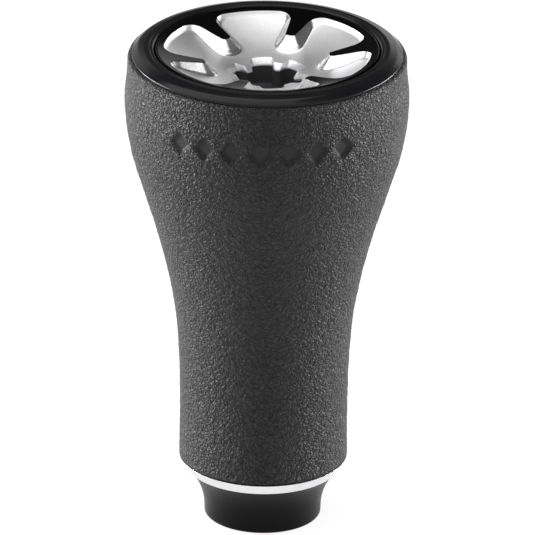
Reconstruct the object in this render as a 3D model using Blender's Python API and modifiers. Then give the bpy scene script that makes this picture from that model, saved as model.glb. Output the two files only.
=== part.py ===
"""Crank handle knob: a soft pear-shaped grip that spins on two ball bearings.

Metres, +Z up. The origin is the centre of the collar's lower face, and +Z runs
along the spin axis from the collar to the end cap.
"""

import math

import bmesh
import bpy

MM = 0.001

# Driving dimensions
GRIP_BOTTOM = 8.6 * MM
GRIP_TOP = 66.1 * MM
GRIP_FOOT_RADIUS = 11.35 * MM
GRIP_TOP_RADIUS = 18.22 * MM
GRIP_WALL = 1.7 * MM
GRIP_POCKET_RADIUS = 17.05 * MM  # inside the grip, where the former's top edge sits
GRIP_OUTLINE = [  # (height, radius) of the soft outside, from the trim ring up
    (GRIP_BOTTOM, GRIP_FOOT_RADIUS),
    (16.0 * MM, 11.32 * MM),
    (24.0 * MM, 11.53 * MM),
    (30.0 * MM, 12.07 * MM),
    (36.0 * MM, 13.19 * MM),
    (42.0 * MM, 14.73 * MM),
    (48.0 * MM, 16.60 * MM),
    (54.0 * MM, 18.30 * MM),
    (58.0 * MM, 18.86 * MM),
    (61.0 * MM, 18.97 * MM),
    (64.0 * MM, 18.68 * MM),
    (GRIP_TOP, GRIP_TOP_RADIUS),
]
EDGE_ROUND = 0.35 * MM
FIT_GAP = 0.1 * MM  # between pieces that are pressed together
REST_GAP = 0.25 * MM  # between pieces that rest on each other

CORE_RADIUS = 8.35 * MM
CORE_THREAD_RADIUS = 7.3 * MM
CORE_BORE_RADIUS = 6.5 * MM
CORE_TOP = 62.0 * MM
CORE_LOWER_THREAD_TOP = 13.0 * MM
CORE_UPPER_THREAD_BOTTOM = 52.0 * MM
CIRCLIP_BOTTOM = 49.9 * MM
CIRCLIP_TOP = 50.5 * MM
CIRCLIP_BORE_RADIUS = 5.35 * MM
CIRCLIP_RADIUS = 6.5 * MM
CIRCLIP_CLEARANCE = 0.15 * MM
FORMER_BORE_RADIUS = 8.5 * MM
FORMER_TOP = 63.25 * MM
FORMER_RIM_RADIUS = 16.85 * MM

COLLAR_RADIUS = 7.85 * MM
COLLAR_FLARE_RADIUS = 9.0 * MM
COLLAR_FLARE_START = 0.8 * MM
COLLAR_TOP = 6.85 * MM
SPIGOT_RADIUS = 7.05 * MM
SPIGOT_TOP = 12.5 * MM
SHOULDER_RADIUS = 5.2 * MM

TRIM_BOTTOM = 7.1 * MM
TRIM_TOP = 8.35 * MM
TRIM_LOWER_RADIUS = 10.45 * MM
TRIM_UPPER_RADIUS = 11.2 * MM

BEZEL_RADIUS = 18.0 * MM
BEZEL_BORE_RADIUS = 15.15 * MM
BEZEL_BOTTOM = 66.3 * MM
BEZEL_EDGE_TOP = 66.65 * MM
BEZEL_CREST = 67.42 * MM
BEZEL_CREST_RADIUS = 16.3 * MM
BEZEL_SHOULDER_RADIUS = 17.2 * MM
BEZEL_SHOULDER_HEIGHT = 67.08 * MM
BEZEL_SKIRT_RADIUS = 16.1 * MM
BEZEL_SKIRT_BOTTOM = 63.55 * MM

CAP_RADIUS = 14.9 * MM
CAP_FACE_DISH = (65.4 * MM, 9.0)  # height on the axis, and rise per squared radius (1/m)
CAP_FLOOR_DISH = (63.3 * MM, 17.5)
CAP_BOTTOM = 63.6 * MM
CAP_WEB_BOTTOM = 60.4 * MM
CAP_SKIRT_RADIUS = 7.1 * MM
CAP_SKIRT_BORE = 5.9 * MM
CAP_SKIRT_BOTTOM = 57.5 * MM
CAP_TURN = math.radians(9.6)
TOOTH_COUNT = 6
POCKET_RADIUS = 13.8 * MM
POCKET_CORNER = 1.8 * MM
POCKET_TOOTH_SLOPE = math.radians(52)
POCKET_OUTER_SLOPE = math.radians(60)
TOOTH_TIP_RADIUS = 8.35 * MM
TOOTH_TIP_WIDTH = 1.35 * MM
TOOTH_ROOT_WIDTH = 3.2 * MM
KEY_LOBE_RADIUS = 4.85 * MM
KEY_TOOTH_RADIUS = 3.6 * MM
KEY_LOBE_WIDTH = 2.85 * MM
KEY_WALL_LEAN = 0.35 * MM
KEY_WALL_DEPTH = 0.8 * MM
O_RING_RADIUS = 7.8 * MM
O_RING_SECTION = 0.6 * MM

BEARING_BORE_RADIUS = 4.0 * MM
BEARING_RADIUS = 6.0 * MM
BEARING_WIDTH = 3.5 * MM
BALL_RADIUS = 0.6 * MM
BALL_COUNT = 10
BALL_GROOVE_RADIUS = 0.66 * MM
BALL_PITCH_RADIUS = (BEARING_BORE_RADIUS + BEARING_RADIUS) / 2
RACE_OPENING = 0.38 * MM  # half the radial space between the two races
SHIELD_THICKNESS = 0.2 * MM
LOWER_BEARING_HEIGHT = 2.85 * MM
UPPER_BEARING_HEIGHT = 47.75 * MM

BUSH_BOTTOM = 0.2 * MM
BUSH_TOP = 50.2 * MM
BUSH_RADIUS = 3.9 * MM
BUSH_BORE_RADIUS = 3.1 * MM
BUSH_FLANGE_RADIUS = 4.45 * MM
BUSH_FLANGE_TOP = 1.0 * MM
SPACER_RADIUS = 4.6 * MM
WAVE_WASHER_HEIGHT = 49.95 * MM
WAVE_WASHER_RADII = (4.05 * MM, 4.9 * MM)
WASHER_BORE_RADIUS = 1.7 * MM
WASHER_RADIUS = 5.0 * MM
WASHER_BOTTOM = 50.45 * MM
WASHER_TOP = 51.2 * MM
SCREW_HEAD_BOTTOM = 51.45 * MM
SCREW_HEAD_RADIUS = 2.9 * MM
SCREW_HEAD_RISE = 1.9 * MM
SCREW_SHANK_RADIUS = 1.5 * MM
SCREW_TIP = 42.0 * MM
HEX_SOCKET_RADIUS = 1.16 * MM
HEX_SOCKET_DEPTH = 1.15 * MM
SEAL_BORE_RADIUS = 4.65 * MM
SEAL_RADIUS = 6.0 * MM
SEAL_BOTTOM = 0.3 * MM
SEAL_TOP = 0.95 * MM

ROUND_STEPS = 40
SMALL_STEPS = 28


def clear_scene():
    for thing in list(bpy.data.objects):
        bpy.data.objects.remove(thing)


def new_collection(name):
    collection = bpy.data.collections.new(name)
    bpy.context.scene.collection.children.link(collection)
    return collection


def material(name, colour, roughness, metallic):
    made = bpy.data.materials.new(name)
    made.use_nodes = True
    shader = made.node_tree.nodes["Principled BSDF"]
    shader.inputs["Base Color"].default_value = (*colour, 1.0)
    shader.inputs["Roughness"].default_value = roughness
    shader.inputs["Metallic"].default_value = metallic
    made.diffuse_color = (*colour, 1.0)
    return made


def arc(centre_r, centre_z, radius, start, end, steps):
    """Points of an arc in the (radius, height) plane, angles in degrees."""
    points = []
    for step in range(steps + 1):
        angle = math.radians(start + (end - start) * step / steps)
        points.append((centre_r + radius * math.cos(angle), centre_z + radius * math.sin(angle)))
    return points



def link(thing, collection, parent=None, look=None):
    collection.objects.link(thing)
    if parent is not None:
        thing.parent = parent
    if look is not None:
        thing.data.materials.append(look)
    return thing


def turned(name, profile, closed, steps=ROUND_STEPS):
    """A solid turned about Z. The profile runs down its outer side; a closed one makes a ring."""
    mesh = bpy.data.meshes.new(name)
    edges = [(i, i + 1) for i in range(len(profile) - 1)]
    if closed:
        edges.append((len(profile) - 1, 0))
    mesh.from_pydata([(r, 0.0, z) for r, z in profile], edges, [])
    thing = bpy.data.objects.new(name, mesh)
    screw = thing.modifiers.new("turn", "SCREW")
    screw.axis = "Z"
    screw.angle = math.tau
    screw.steps = steps
    screw.render_steps = steps
    screw.use_merge_vertices = True
    screw.merge_threshold = 1e-6
    screw.use_smooth_shade = True
    return thing


def ring(name, inner, outer, bottom, top):
    """A plain turned ring."""
    profile = [(outer, top), (outer, bottom), (inner, bottom), (inner, top)]
    return turned(name, profile, True, SMALL_STEPS)


def cutter_loft(name, sections, collection):
    """A closed cutter through rings of equally many (x, y, z) points, lowest ring first."""
    mesh = bpy.data.meshes.new(name)
    work = bmesh.new()
    rings = [[work.verts.new(point) for point in section] for section in sections]
    count = len(rings[0])
    for lower, upper in zip(rings, rings[1:]):
        for i in range(count):
            j = (i + 1) % count
            work.faces.new((lower[i], lower[j], upper[j], upper[i]))
    work.faces.new(list(reversed(rings[0])))
    work.faces.new(rings[-1])
    work.to_mesh(mesh)
    work.free()
    thing = bpy.data.objects.new(name, mesh)
    return hide_cutter(thing, collection)


def hide_cutter(thing, collection):
    thing.hide_render = True
    thing.display_type = "WIRE"
    collection.objects.link(thing)
    return thing


def rod_cutter(name, radius, depth, sides, place, turn, collection):
    """A straight rod to cut with. turn holds its rotation about X, Y and Z."""
    mesh = bpy.data.meshes.new(name)
    work = bmesh.new()
    bmesh.ops.create_cone(
        work, cap_ends=True, segments=sides, radius1=radius, radius2=radius, depth=depth
    )
    work.to_mesh(mesh)
    work.free()
    thing = bpy.data.objects.new(name, mesh)
    thing.location = place
    thing.rotation_euler = turn
    return hide_cutter(thing, collection)


def cut(thing, cutter):
    boolean = thing.modifiers.new("cut_" + cutter.name, "BOOLEAN")
    boolean.operation = "DIFFERENCE"
    boolean.solver = "EXACT"
    boolean.object = cutter


# --- the soft grip and what is under it -------------------------------------

def grip_curve(inset, lowest, highest):
    """The grip's outline moved in by inset, between two heights, going up."""
    return [(r - inset, z) for z, r in GRIP_OUTLINE if lowest < z < highest]


def make_grip():
    outer = grip_curve(0.0, GRIP_BOTTOM + EDGE_ROUND, GRIP_TOP - EDGE_ROUND)
    outer.reverse()
    top_edge = arc(GRIP_TOP_RADIUS - EDGE_ROUND, GRIP_TOP - EDGE_ROUND, EDGE_ROUND, 90, 15, 2)
    low_edge = arc(GRIP_FOOT_RADIUS - EDGE_ROUND, GRIP_BOTTOM + EDGE_ROUND, EDGE_ROUND, 0, -90, 2)
    inner = grip_curve(GRIP_WALL, GRIP_BOTTOM, FORMER_TOP - 1.0 * MM)
    lip_radius = BEZEL_SKIRT_RADIUS + REST_GAP
    profile = top_edge + outer + low_edge
    profile.append((GRIP_FOOT_RADIUS - GRIP_WALL, GRIP_BOTTOM))
    profile += inner
    profile.append((GRIP_POCKET_RADIUS, FORMER_TOP - 0.3 * MM))
    profile.append((lip_radius, FORMER_TOP + REST_GAP))
    profile.append((lip_radius, GRIP_TOP))
    return turned("grip", profile, True)


def make_former():
    gap = 0.15 * MM
    outer = grip_curve(GRIP_WALL + gap, GRIP_BOTTOM, FORMER_TOP - 1.0 * MM)
    outer.reverse()
    profile = [(FORMER_RIM_RADIUS - 1.0 * MM, FORMER_TOP), (FORMER_RIM_RADIUS, FORMER_TOP - 0.6 * MM)]
    profile += outer
    profile.append((GRIP_FOOT_RADIUS - GRIP_WALL - gap, GRIP_BOTTOM))
    profile.append((FORMER_BORE_RADIUS, GRIP_BOTTOM))
    profile.append((FORMER_BORE_RADIUS, FORMER_TOP))
    return turned("grip_former", profile, True, SMALL_STEPS)


def make_core_tube():
    """Aluminium tube: collar thread, bore, upper bearing's seat, circlip groove, cap thread."""
    seat_bottom = UPPER_BEARING_HEIGHT - BEARING_WIDTH / 2 - FIT_GAP
    seat = BEARING_RADIUS + FIT_GAP
    groove_bottom = CIRCLIP_BOTTOM - CIRCLIP_CLEARANCE
    groove_top = CIRCLIP_TOP + CIRCLIP_CLEARANCE
    groove = CIRCLIP_RADIUS + CIRCLIP_CLEARANCE
    profile = [
        (CORE_RADIUS - 0.2 * MM, CORE_TOP),
        (CORE_RADIUS, CORE_TOP - 0.2 * MM),
        (CORE_RADIUS, GRIP_BOTTOM),
        (CORE_THREAD_RADIUS, GRIP_BOTTOM),
        (CORE_THREAD_RADIUS, CORE_LOWER_THREAD_TOP),
        (CORE_BORE_RADIUS, CORE_LOWER_THREAD_TOP + 0.5 * MM),
        (CORE_BORE_RADIUS, seat_bottom - 3.5 * MM),
        (SHOULDER_RADIUS, seat_bottom - 2.2 * MM),
        (SHOULDER_RADIUS, seat_bottom),
        (seat, seat_bottom),
        (seat, groove_bottom),
        (groove, groove_bottom),
        (groove, groove_top),
        (seat, groove_top),
        (seat, CORE_UPPER_THREAD_BOTTOM - 0.6 * MM),
        (CORE_THREAD_RADIUS, CORE_UPPER_THREAD_BOTTOM),
        (CORE_THREAD_RADIUS, CORE_TOP),
    ]
    return turned("core_tube", profile, True, SMALL_STEPS)


def make_circlip(cutters):
    """A flat snap ring, open on one side."""
    clip = ring("circlip", CIRCLIP_BORE_RADIUS, CIRCLIP_RADIUS, CIRCLIP_BOTTOM, CIRCLIP_TOP)
    gap = rod_cutter(
        "circlip_gap", 1.2 * MM, 4 * MM, 16, (6.0 * MM, 0.0, CIRCLIP_TOP), (0, 0, 0), cutters
    )
    cut(clip, gap)
    return clip


# --- collar and trim ring ---------------------------------------------------

def make_collar():
    """Bell collar: the flare is an arc up to the rim, and the spigot screws into the core."""
    seat = BEARING_RADIUS + FIT_GAP
    seat_top = LOWER_BEARING_HEIGHT + BEARING_WIDTH / 2 + FIT_GAP
    flare_centre = COLLAR_RADIUS + COLLAR_FLARE_RADIUS
    flare_angle = math.degrees(math.asin((COLLAR_TOP - COLLAR_FLARE_START) / COLLAR_FLARE_RADIUS))
    flare = arc(flare_centre, COLLAR_FLARE_START, COLLAR_FLARE_RADIUS, 180 - flare_angle, 180, 6)
    edge = 0.3 * MM
    profile = [
        (SPIGOT_RADIUS - edge, SPIGOT_TOP),
        (SPIGOT_RADIUS, SPIGOT_TOP - edge),
        (SPIGOT_RADIUS, COLLAR_TOP),
    ]
    profile += flare
    profile += [
        (COLLAR_RADIUS, edge),
        (COLLAR_RADIUS - edge, 0.0),
        (seat + edge, 0.0),
        (seat, edge),
        (seat, seat_top),
        (SHOULDER_RADIUS, seat_top),
        (SHOULDER_RADIUS, SPIGOT_TOP),
    ]
    return turned("collar", profile, True)


def make_trim_ring():
    bore = SPIGOT_RADIUS + REST_GAP
    profile = [
        (TRIM_UPPER_RADIUS, TRIM_TOP),
        (TRIM_LOWER_RADIUS, TRIM_BOTTOM),
        (bore, TRIM_BOTTOM),
        (bore, TRIM_TOP),
    ]
    return turned("trim_ring", profile, True)


def make_dust_seal():
    return ring("dust_seal", SEAL_BORE_RADIUS, SEAL_RADIUS, SEAL_BOTTOM, SEAL_TOP)


# --- bezel and end cap ------------------------------------------------------

def make_bezel_ring():
    """The crest is flat, and the shoulder falls from it to a short upright edge."""
    edge = 0.15 * MM
    lip = 0.12 * MM
    bore = BEZEL_BORE_RADIUS
    profile = [
        (BEZEL_CREST_RADIUS - 0.35 * MM, BEZEL_CREST),
        (BEZEL_CREST_RADIUS, BEZEL_CREST - 0.04 * MM),
        (BEZEL_SHOULDER_RADIUS, BEZEL_SHOULDER_HEIGHT),
        (BEZEL_RADIUS - edge, BEZEL_EDGE_TOP + 0.04 * MM),
        (BEZEL_RADIUS, BEZEL_EDGE_TOP - edge),
        (BEZEL_RADIUS, BEZEL_BOTTOM),
        (BEZEL_SKIRT_RADIUS, BEZEL_BOTTOM),
        (BEZEL_SKIRT_RADIUS, BEZEL_SKIRT_BOTTOM),
        (bore, BEZEL_SKIRT_BOTTOM),
        (bore, BEZEL_CREST - 2 * lip),
        (bore + lip, BEZEL_CREST - lip),
        (bore + 3 * lip, BEZEL_CREST - lip),
        (bore + 4 * lip, BEZEL_CREST),
    ]
    return turned("bezel_ring", profile, True)


def polar(radius, angle):
    return (radius * math.cos(angle), radius * math.sin(angle))


def pocket_sector():
    """Half a petal, from the middle of a tooth to the middle of a pocket, as (x, y) points.

    The tooth lies along +X with its tip inwards; its flank leans outwards to the rounded
    corner, which is an arc that touches both the flank and the pocket's outer circle.
    """
    half_tip = TOOTH_TIP_WIDTH / 2
    half_root = TOOTH_ROOT_WIDTH / 2
    lean = math.atan2(half_root - half_tip, POCKET_RADIUS - TOOTH_TIP_RADIUS)
    corner = POCKET_CORNER
    # the corner's centre is one corner radius from the flank and from the outer circle
    reach = POCKET_RADIUS - corner
    across = half_tip / math.cos(lean) + corner / math.cos(lean) - TOOTH_TIP_RADIUS * math.tan(lean)
    slope = math.tan(lean)
    a = 1 + slope * slope
    b = slope * across
    c = across * across - reach * reach
    centre_x = (-b + math.sqrt(b * b - a * c)) / a
    centre_y = across + slope * centre_x
    points = [(TOOTH_TIP_RADIUS, 0.0), (TOOTH_TIP_RADIUS, half_tip * 0.6)]
    points.append((TOOTH_TIP_RADIUS + half_tip * 0.3, half_tip))
    start = -math.pi / 2 + lean
    end = math.atan2(centre_y, centre_x)
    for step in range(5):
        angle = start + (end - start) * step / 4
        points.append((centre_x + corner * math.cos(angle), centre_y + corner * math.sin(angle)))
    middle = math.pi / TOOTH_COUNT
    points.append(polar(POCKET_RADIUS, (end + middle) / 2))
    points.append(polar(POCKET_RADIUS, middle))
    return points


def key_sector():
    """Half a lobe of the key hole, from the middle of a key tooth to the middle of a lobe."""
    middle = math.pi / TOOTH_COUNT
    half = KEY_LOBE_WIDTH / 2
    turn_point = math.asin(half / KEY_LOBE_RADIUS) * 0.75
    return [
        polar(KEY_TOOTH_RADIUS, 0.0),
        polar(KEY_TOOTH_RADIUS, middle - math.asin(half / KEY_TOOTH_RADIUS)),
        polar(KEY_LOBE_RADIUS * 0.93, middle - math.asin(half / KEY_LOBE_RADIUS)),
        polar(KEY_LOBE_RADIUS, middle - turn_point),
        polar(KEY_LOBE_RADIUS, middle),
    ]


def full_outline(sector):
    """A closed outline from half a sector: mirrored about its end, then repeated round Z."""
    middle = math.pi / TOOTH_COUNT
    flipped = []
    for x, y in reversed(sector[1:-1]):
        radius = math.hypot(x, y)
        flipped.append(polar(radius, 2 * middle - math.atan2(y, x)))
    whole = sector + flipped
    outline = []
    for index in range(TOOTH_COUNT):
        turn = CAP_TURN + index * 2 * middle
        for x, y in whole:
            outline.append(polar(math.hypot(x, y), math.atan2(y, x) + turn))
    return outline


def inset_outline(outline, amounts):
    """Each corner moved inwards by its amount, along the mean of its two sides' normals."""
    moved = []
    count = len(outline)
    for i in range(count):
        ax, ay = outline[i - 1]
        bx, by = outline[i]
        cx, cy = outline[(i + 1) % count]
        n1 = (ay - by, bx - ax)
        n2 = (by - cy, cx - bx)
        l1 = math.hypot(*n1)
        l2 = math.hypot(*n2)
        nx = n1[0] / l1 + n2[0] / l2
        ny = n1[1] / l1 + n2[1] / l2
        size = math.hypot(nx, ny)
        stretch = 2 * amounts[i] / (size * size)
        moved.append((bx + nx * stretch, by + ny * stretch))
    return moved


def dished(dish, radius):
    """Height of a shallow dish round the axis, at a radius."""
    height, rise = dish
    return height + rise * radius * radius


def pocket_slope(x, y):
    """Tangent of the wall's angle: steeper towards the outer circle than on the teeth."""
    past_flank = (math.hypot(x, y) - POCKET_RADIUS) / POCKET_CORNER + 1
    share = min(max(past_flank, 0.0), 1.0)
    return math.tan(POCKET_TOOTH_SLOPE + (POCKET_OUTER_SLOPE - POCKET_TOOTH_SLOPE) * share)


def make_pocket_cutter(cutters):
    """A prism with sloped sides, kept only where it is above the dished floor."""
    outline = full_outline(pocket_sector())
    edge = [dished(CAP_FACE_DISH, math.hypot(x, y)) for x, y in outline]
    slopes = [pocket_slope(x, y) for x, y in outline]
    runs = []
    for (x, y), height, slope in zip(outline, edge, slopes):
        depth = height - dished(CAP_FLOOR_DISH, math.hypot(x, y))
        runs.append(1.35 * depth / slope + 0.05 * MM)
    bottom = [z - run * slope for z, run, slope in zip(edge, runs, slopes)]
    foot = inset_outline(outline, runs)
    above = BEZEL_CREST + 2 * MM
    below = CAP_FLOOR_DISH[0] - 1 * MM
    sections = [
        [(x, y, below) for x, y in foot],
        [(x, y, z) for (x, y), z in zip(foot, bottom)],
        [(x, y, z) for (x, y), z in zip(outline, edge)],
        [(x, y, above) for x, y in outline],
    ]
    cutter = cutter_loft("pocket_cutter", sections, cutters)
    radii = [15 * MM, 12 * MM, 9 * MM, 6 * MM, 3 * MM, 0.0]
    profile = [(0.0, above + 1 * MM), (radii[0], above + 1 * MM)]
    profile += [(radius, dished(CAP_FLOOR_DISH, radius)) for radius in radii]
    dish = hide_cutter(turned("floor_dish", profile, False), cutters)
    keep = cutter.modifiers.new("keep_above_floor", "BOOLEAN")
    keep.operation = "INTERSECT"
    keep.solver = "EXACT"
    keep.object = dish
    return cutter


def make_key_cutter(cutters):
    key = full_outline(key_sector())
    wide = inset_outline(key, [-KEY_WALL_LEAN] * len(key))
    floor = dished(CAP_FLOOR_DISH, KEY_LOBE_RADIUS)
    sections = [
        [(x, y, CAP_WEB_BOTTOM - 0.5 * MM) for x, y in key],
        [(x, y, floor - KEY_WALL_DEPTH) for x, y in key],
        [(x, y, floor) for x, y in wide],
        [(x, y, floor + 2 * MM) for x, y in wide],
    ]
    return cutter_loft("key_hole_cutter", sections, cutters)


def make_end_cap(cutters):
    """Dished black face with six teeth over a deeper dished floor, a key hole and a skirt."""
    rim = 0.25 * MM
    face_radii = [0.0, TOOTH_TIP_RADIUS, 11.5 * MM, CAP_RADIUS - rim]
    profile = [(radius, dished(CAP_FACE_DISH, radius)) for radius in face_radii]
    profile += [
        (CAP_RADIUS, dished(CAP_FACE_DISH, CAP_RADIUS) - 2 * rim),
        (CAP_RADIUS, CAP_BOTTOM + rim),
        (CAP_RADIUS - rim, CAP_BOTTOM),
        (CAP_SKIRT_RADIUS, CAP_BOTTOM),
        (CAP_SKIRT_RADIUS, CAP_SKIRT_BOTTOM + rim),
        (CAP_SKIRT_RADIUS - rim, CAP_SKIRT_BOTTOM),
        (CAP_SKIRT_BORE, CAP_SKIRT_BOTTOM),
        (CAP_SKIRT_BORE, CAP_WEB_BOTTOM),
        (0.0, CAP_WEB_BOTTOM),
    ]
    cap = turned("end_cap", profile, False)
    cut(cap, make_pocket_cutter(cutters))
    cut(cap, make_key_cutter(cutters))
    return cap


def make_cap_o_ring():
    section = arc(O_RING_RADIUS, (CORE_TOP + CAP_BOTTOM) / 2, O_RING_SECTION, 90, -225, 7)
    return turned("cap_o_ring", section, True, SMALL_STEPS)


# --- bearings ---------------------------------------------------------------

def make_race(name, inner_race, height):
    """A bearing race with its ball groove, and a step at each face for the shield."""
    half = BEARING_WIDTH / 2
    groove_edge = math.degrees(math.acos(RACE_OPENING / BALL_GROOVE_RADIUS))
    edge = 0.12 * MM
    if inner_race:
        land = BALL_PITCH_RADIUS - RACE_OPENING
        groove = arc(
            BALL_PITCH_RADIUS, height, BALL_GROOVE_RADIUS, 180 - groove_edge, 180 + groove_edge, 3
        )
        profile = [(land, height + half)] + groove
        profile += [(land, height - half), (BEARING_BORE_RADIUS + edge, height - half)]
        profile += [(BEARING_BORE_RADIUS, height - half + edge)]
        profile += [(BEARING_BORE_RADIUS, height + half - edge)]
        profile += [(BEARING_BORE_RADIUS + edge, height + half)]
    else:
        land = BALL_PITCH_RADIUS + RACE_OPENING
        step = BALL_PITCH_RADIUS + RACE_OPENING + 0.12 * MM
        depth = SHIELD_THICKNESS + 0.1 * MM
        groove = arc(BALL_PITCH_RADIUS, height, BALL_GROOVE_RADIUS, -groove_edge, groove_edge, 3)
        profile = [(BEARING_RADIUS - edge, height + half), (BEARING_RADIUS, height + half - edge)]
        profile += [(BEARING_RADIUS, height - half + edge), (BEARING_RADIUS - edge, height - half)]
        profile += [(step, height - half), (step, height - half + depth)]
        profile += [(land, height - half + depth)] + groove + [(land, height + half - depth)]
        profile += [(step, height + half - depth), (step, height + half)]
    return turned(name, profile, True, SMALL_STEPS)


def make_cage(name, height, cutters):
    """A thin ring with one round window for each ball."""
    wall = 0.25 * MM
    rise = 0.95 * MM
    inner = BALL_PITCH_RADIUS - wall
    cage = ring(name, inner, BALL_PITCH_RADIUS + wall, height - rise, height + rise)
    for index in range(BALL_COUNT):
        turn = math.tau * index / BALL_COUNT
        x, y = polar(BALL_PITCH_RADIUS, turn)
        window = rod_cutter(
            f"{name}_window_{index + 1}", BALL_RADIUS + 0.08 * MM, 1.2 * MM, 12,
            (x, y, height), (0, math.pi / 2, turn), cutters,
        )
        cut(cage, window)
    return cage


def make_ball_mesh():
    mesh = bpy.data.meshes.new("ball")
    work = bmesh.new()
    bmesh.ops.create_uvsphere(work, u_segments=8, v_segments=6, radius=BALL_RADIUS)
    work.to_mesh(mesh)
    work.free()
    mesh.shade_smooth()
    return mesh


def make_bearing(prefix, height, parts, cutters, spin, looks):
    half = BEARING_WIDTH / 2
    link(make_race(prefix + "_outer_race", False, height), parts, None, looks["bearing_steel"])
    link(make_race(prefix + "_inner_race", True, height), parts, None, looks["bearing_steel"])
    cage_hub = bpy.data.objects.new(prefix + "_cage_axis", None)
    cage_hub.empty_display_size = 4 * MM
    parts.objects.link(cage_hub)
    cage_hub.parent = spin
    link(make_cage(prefix + "_ball_cage", height, cutters), parts, cage_hub, looks["cage"])
    ball_mesh = make_ball_mesh()
    ball_mesh.materials.append(looks["ball_steel"])
    for index in range(BALL_COUNT):
        ball = bpy.data.objects.new(f"{prefix}_ball_{index + 1:02d}", ball_mesh)
        x, y = polar(BALL_PITCH_RADIUS, math.tau * index / BALL_COUNT)
        ball.location = (x, y, height)
        link(ball, parts, cage_hub)
    inner = BALL_PITCH_RADIUS - RACE_OPENING + 0.1 * MM
    outer = BALL_PITCH_RADIUS + RACE_OPENING + 0.07 * MM
    for side, sign in (("bottom", -1), ("top", 1)):
        face = height + sign * (half - 0.05 * MM)
        low = min(face, face - sign * SHIELD_THICKNESS)
        shield = ring(f"{prefix}_shield_{side}", inner, outer, low, low + SHIELD_THICKNESS)
        link(shield, parts, None, looks["shield"])


# --- spindle set ------------------------------------------------------------

def make_spindle_bush():
    edge = 0.2 * MM
    profile = [
        (BUSH_RADIUS - edge, BUSH_TOP),
        (BUSH_RADIUS, BUSH_TOP - edge),
        (BUSH_RADIUS, BUSH_FLANGE_TOP),
        (BUSH_FLANGE_RADIUS, BUSH_FLANGE_TOP),
        (BUSH_FLANGE_RADIUS, BUSH_BOTTOM + edge),
        (BUSH_FLANGE_RADIUS - edge, BUSH_BOTTOM),
        (BUSH_BORE_RADIUS + edge, BUSH_BOTTOM),
        (BUSH_BORE_RADIUS, BUSH_BOTTOM + edge),
        (BUSH_BORE_RADIUS, BUSH_TOP),
    ]
    return turned("spindle_bush", profile, True, SMALL_STEPS)


def make_spacer_tube():
    low = LOWER_BEARING_HEIGHT + BEARING_WIDTH / 2 + FIT_GAP
    high = UPPER_BEARING_HEIGHT - BEARING_WIDTH / 2 - FIT_GAP
    return ring("spacer_tube", BEARING_BORE_RADIUS, SPACER_RADIUS, low, high)


def make_wave_washer():
    """A thin spring washer whose height waves three times round."""
    steps = 24
    half = 0.075 * MM
    wave = 0.12 * MM
    mesh = bpy.data.meshes.new("wave_washer")
    work = bmesh.new()
    inner, outer = WAVE_WASHER_RADII
    corners = ((inner, -half), (outer, -half), (outer, half), (inner, half))
    rings = []
    for index in range(steps):
        turn = math.tau * index / steps
        lift = WAVE_WASHER_HEIGHT + wave * math.cos(3 * turn)
        section = []
        for radius, rise in corners:
            x, y = polar(radius, turn)
            section.append(work.verts.new((x, y, lift + rise)))
        rings.append(section)
    for index in range(steps):
        here, there = rings[index], rings[(index + 1) % steps]
        for k in range(4):
            m = (k + 1) % 4
            work.faces.new((here[k], here[m], there[m], there[k]))
    bmesh.ops.recalc_face_normals(work, faces=work.faces)
    work.to_mesh(mesh)
    work.free()
    return bpy.data.objects.new("wave_washer", mesh)


def make_retaining_washer():
    return ring("retaining_washer", WASHER_BORE_RADIUS, WASHER_RADIUS, WASHER_BOTTOM, WASHER_TOP)


def make_retaining_screw(cutters):
    """Button head with a hexagon socket, and the shank that reaches into the spindle."""
    head = SCREW_HEAD_RADIUS
    shank = SCREW_SHANK_RADIUS
    point = 0.3 * MM
    dome = []
    for step in range(6):
        angle = math.radians(90 - 78 * step / 5)
        height = SCREW_HEAD_BOTTOM + SCREW_HEAD_RISE * math.sin(angle)
        dome.append((head * math.cos(angle), height))
    profile = dome + [
        (head, SCREW_HEAD_BOTTOM + 0.2 * MM),
        (head, SCREW_HEAD_BOTTOM),
        (shank, SCREW_HEAD_BOTTOM),
        (shank, SCREW_TIP + point),
        (shank - point, SCREW_TIP),
        (0.0, SCREW_TIP),
    ]
    screw = turned("retaining_screw", profile, False, SMALL_STEPS)
    depth = 2 * HEX_SOCKET_DEPTH
    top = (0, 0, SCREW_HEAD_BOTTOM + SCREW_HEAD_RISE)
    socket = rod_cutter("hex_socket", HEX_SOCKET_RADIUS, depth, 6, top, (0, 0, 0), cutters)
    cut(screw, socket)
    return screw


def make_looks():
    return {
        "grip_rubber": material("grip_rubber", (0.055, 0.056, 0.06), 0.62, 0.0),
        "gloss_black": material("gloss_black", (0.01, 0.01, 0.011), 0.08, 0.0),
        "cap_aluminium": material("cap_aluminium", (0.82, 0.82, 0.83), 0.3, 1.0),
        "trim_aluminium": material("trim_aluminium", (0.86, 0.86, 0.87), 0.22, 1.0),
        "collar_black": material("collar_black", (0.012, 0.012, 0.013), 0.3, 0.3),
        "former_nylon": material("former_nylon", (0.05, 0.05, 0.05), 0.55, 0.0),
        "core_aluminium": material("core_aluminium", (0.62, 0.63, 0.65), 0.38, 1.0),
        "seal_rubber": material("seal_rubber", (0.02, 0.02, 0.02), 0.7, 0.0),
        "bearing_steel": material("bearing_steel", (0.6, 0.6, 0.61), 0.18, 1.0),
        "ball_steel": material("ball_steel", (0.75, 0.75, 0.76), 0.06, 1.0),
        "shield": material("shield", (0.55, 0.55, 0.56), 0.3, 1.0),
        "cage": material("cage", (0.62, 0.5, 0.26), 0.4, 0.9),
        "stainless": material("stainless", (0.62, 0.61, 0.6), 0.25, 1.0),
    }


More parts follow.
